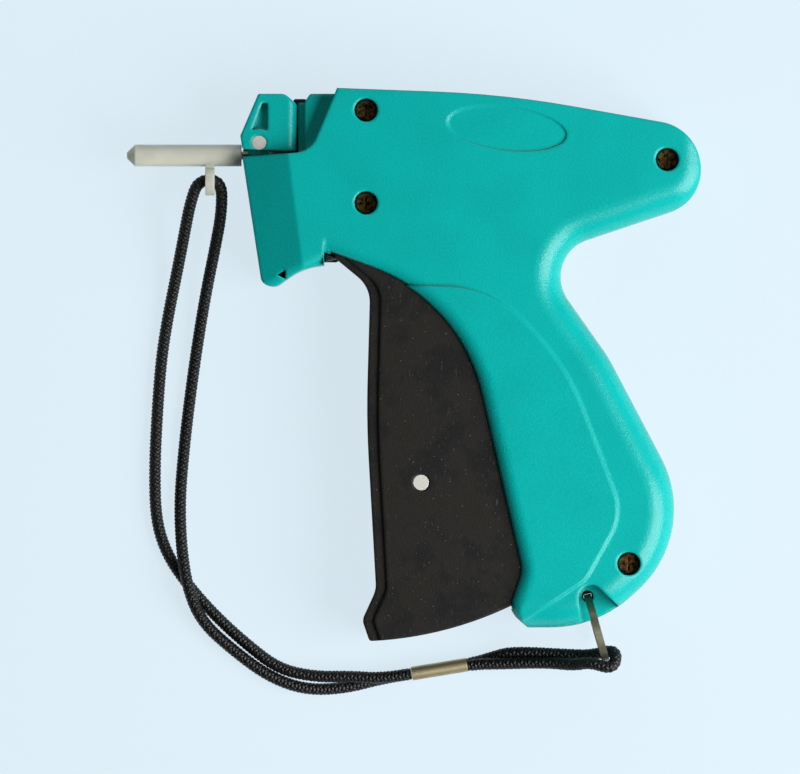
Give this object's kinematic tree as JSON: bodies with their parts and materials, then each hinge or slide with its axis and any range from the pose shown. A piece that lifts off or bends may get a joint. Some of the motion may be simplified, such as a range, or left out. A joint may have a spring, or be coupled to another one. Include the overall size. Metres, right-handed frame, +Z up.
{
  "type": "garment tag attacher",
  "caption": "Hand tool that pushes plastic fasteners through cloth: two-shell pistol body, squeeze trigger, hollow needle with cap, needle lock, strip feed and wrist strap",
  "frame": {"origin": "centre of the tool's footprint on the surface it lies on, right side down, strap left out", "axes": "X runs from the needle's tip (-X) to the tail (+X), Y from the butt of the handle (-Y) to the top of the head (+Y), Z up through the tool's thickness"},
  "size_m": [0.155, 0.1644, 0.026],
  "materials": {
    "teal_plastic": "fine moulded grain, satin",
    "black_plastic": "satin",
    "grey_plastic": "smooth",
    "bright_steel": "polished",
    "pale_steel": "polished",
    "spring_steel": "drawn wire",
    "bronze_steel": "yellow passivated",
    "black_cord": "braided",
    "ferrule_metal": "crimped",
    "nickel_wire": "flat wire"
  },
  "bodies": {
    "body": {"left_casing": "teal_plastic", "right_casing": "teal_plastic", "casing_screws": "bronze_steel", "trigger_pivot_pin": "bright_steel", "drive_lever_axle": "bright_steel", "feed_wheel_axle": "bright_steel", "cutter_blade": "bright_steel", "needle": "bright_steel", "needle_base": "bright_steel", "needle_lock_pin": "pale_steel", "return_spring": "spring_steel", "strap_bight": "black_cord", "strap_ferrule": "ferrule_metal"},
    "trigger_body": {"trigger": "black_plastic", "trigger_link_pin": "bright_steel"},
    "links": {"drive_link_left": "bright_steel", "drive_link_right": "bright_steel"},
    "lever": {"drive_lever": "black_plastic", "lever_link_pin": "bright_steel"},
    "slide": {"slider": "black_plastic", "slider_pin": "bright_steel", "push_rod": "bright_steel"},
    "wheel": {"feed_wheel": "black_plastic"},
    "lock": {"needle_lock_lever": "teal_plastic"},
    "cap": {"needle_cap": "grey_plastic", "strap_loop": "black_cord"},
    "ring": {"strap_ring": "nickel_wire"}
  },
  "joints": [
    {"name": "trigger_squeeze", "type": "hinge", "parent": "body", "child": "trigger_body", "pos_m": [-0.0166, 0.0343, 0.013], "axis": [0, 0, 1], "range_deg": [0, 16], "stiffness_Nm_per_rad": 0.9, "springref_deg": -20.05},
    {"name": "link_swing", "type": "hinge", "parent": "trigger_body", "child": "links", "pos_m": [0.002, -0.0317, 0.013], "axis": [0, 0, 1], "range_deg": [-17.2, 0]},
    {"name": "lever_swing", "type": "hinge", "parent": "body", "child": "lever", "pos_m": [0.0328, 0.0081, 0.013], "axis": [0, 0, 1], "range_deg": [0, 48]},
    {"name": "slider_travel", "type": "slide", "parent": "body", "child": "slide", "axis": [-1, 0, 0], "range_m": [0, 0.0434], "deforming": ["return_spring"]},
    {"name": "feed_wheel_turn", "type": "hinge", "parent": "body", "child": "wheel", "pos_m": [-0.0247, 0.0483, 0.013], "axis": [0, 0, 1], "range_deg": [0, 40]},
    {"name": "needle_lock_flip", "type": "hinge", "parent": "body", "child": "lock", "pos_m": [-0.0417, 0.06, 0.013], "axis": [0, 0, 1], "range_deg": [0, 25]},
    {"name": "cap_pull", "type": "slide", "parent": "body", "child": "cap", "axis": [-1, 0, 0], "range_m": [0, 0.03]},
    {"name": "ring_turn", "type": "hinge", "parent": "body", "child": "ring", "pos_m": [0.04951, -0.07116, 0.013], "axis": [0.9622, 0.2723, 0], "continuous": true}
  ],
  "couplings": [
    {"joint": "link_swing", "follows": "trigger_squeeze", "ratio": -1.068},
    {"joint": "lever_swing", "follows": "trigger_squeeze", "ratio": 3},
    {"joint": "slider_travel", "follows": "trigger_squeeze", "m_per_rad": 0.15498},
    {"joint": "feed_wheel_turn", "follows": "trigger_squeeze", "ratio": 2.5}
  ]
}
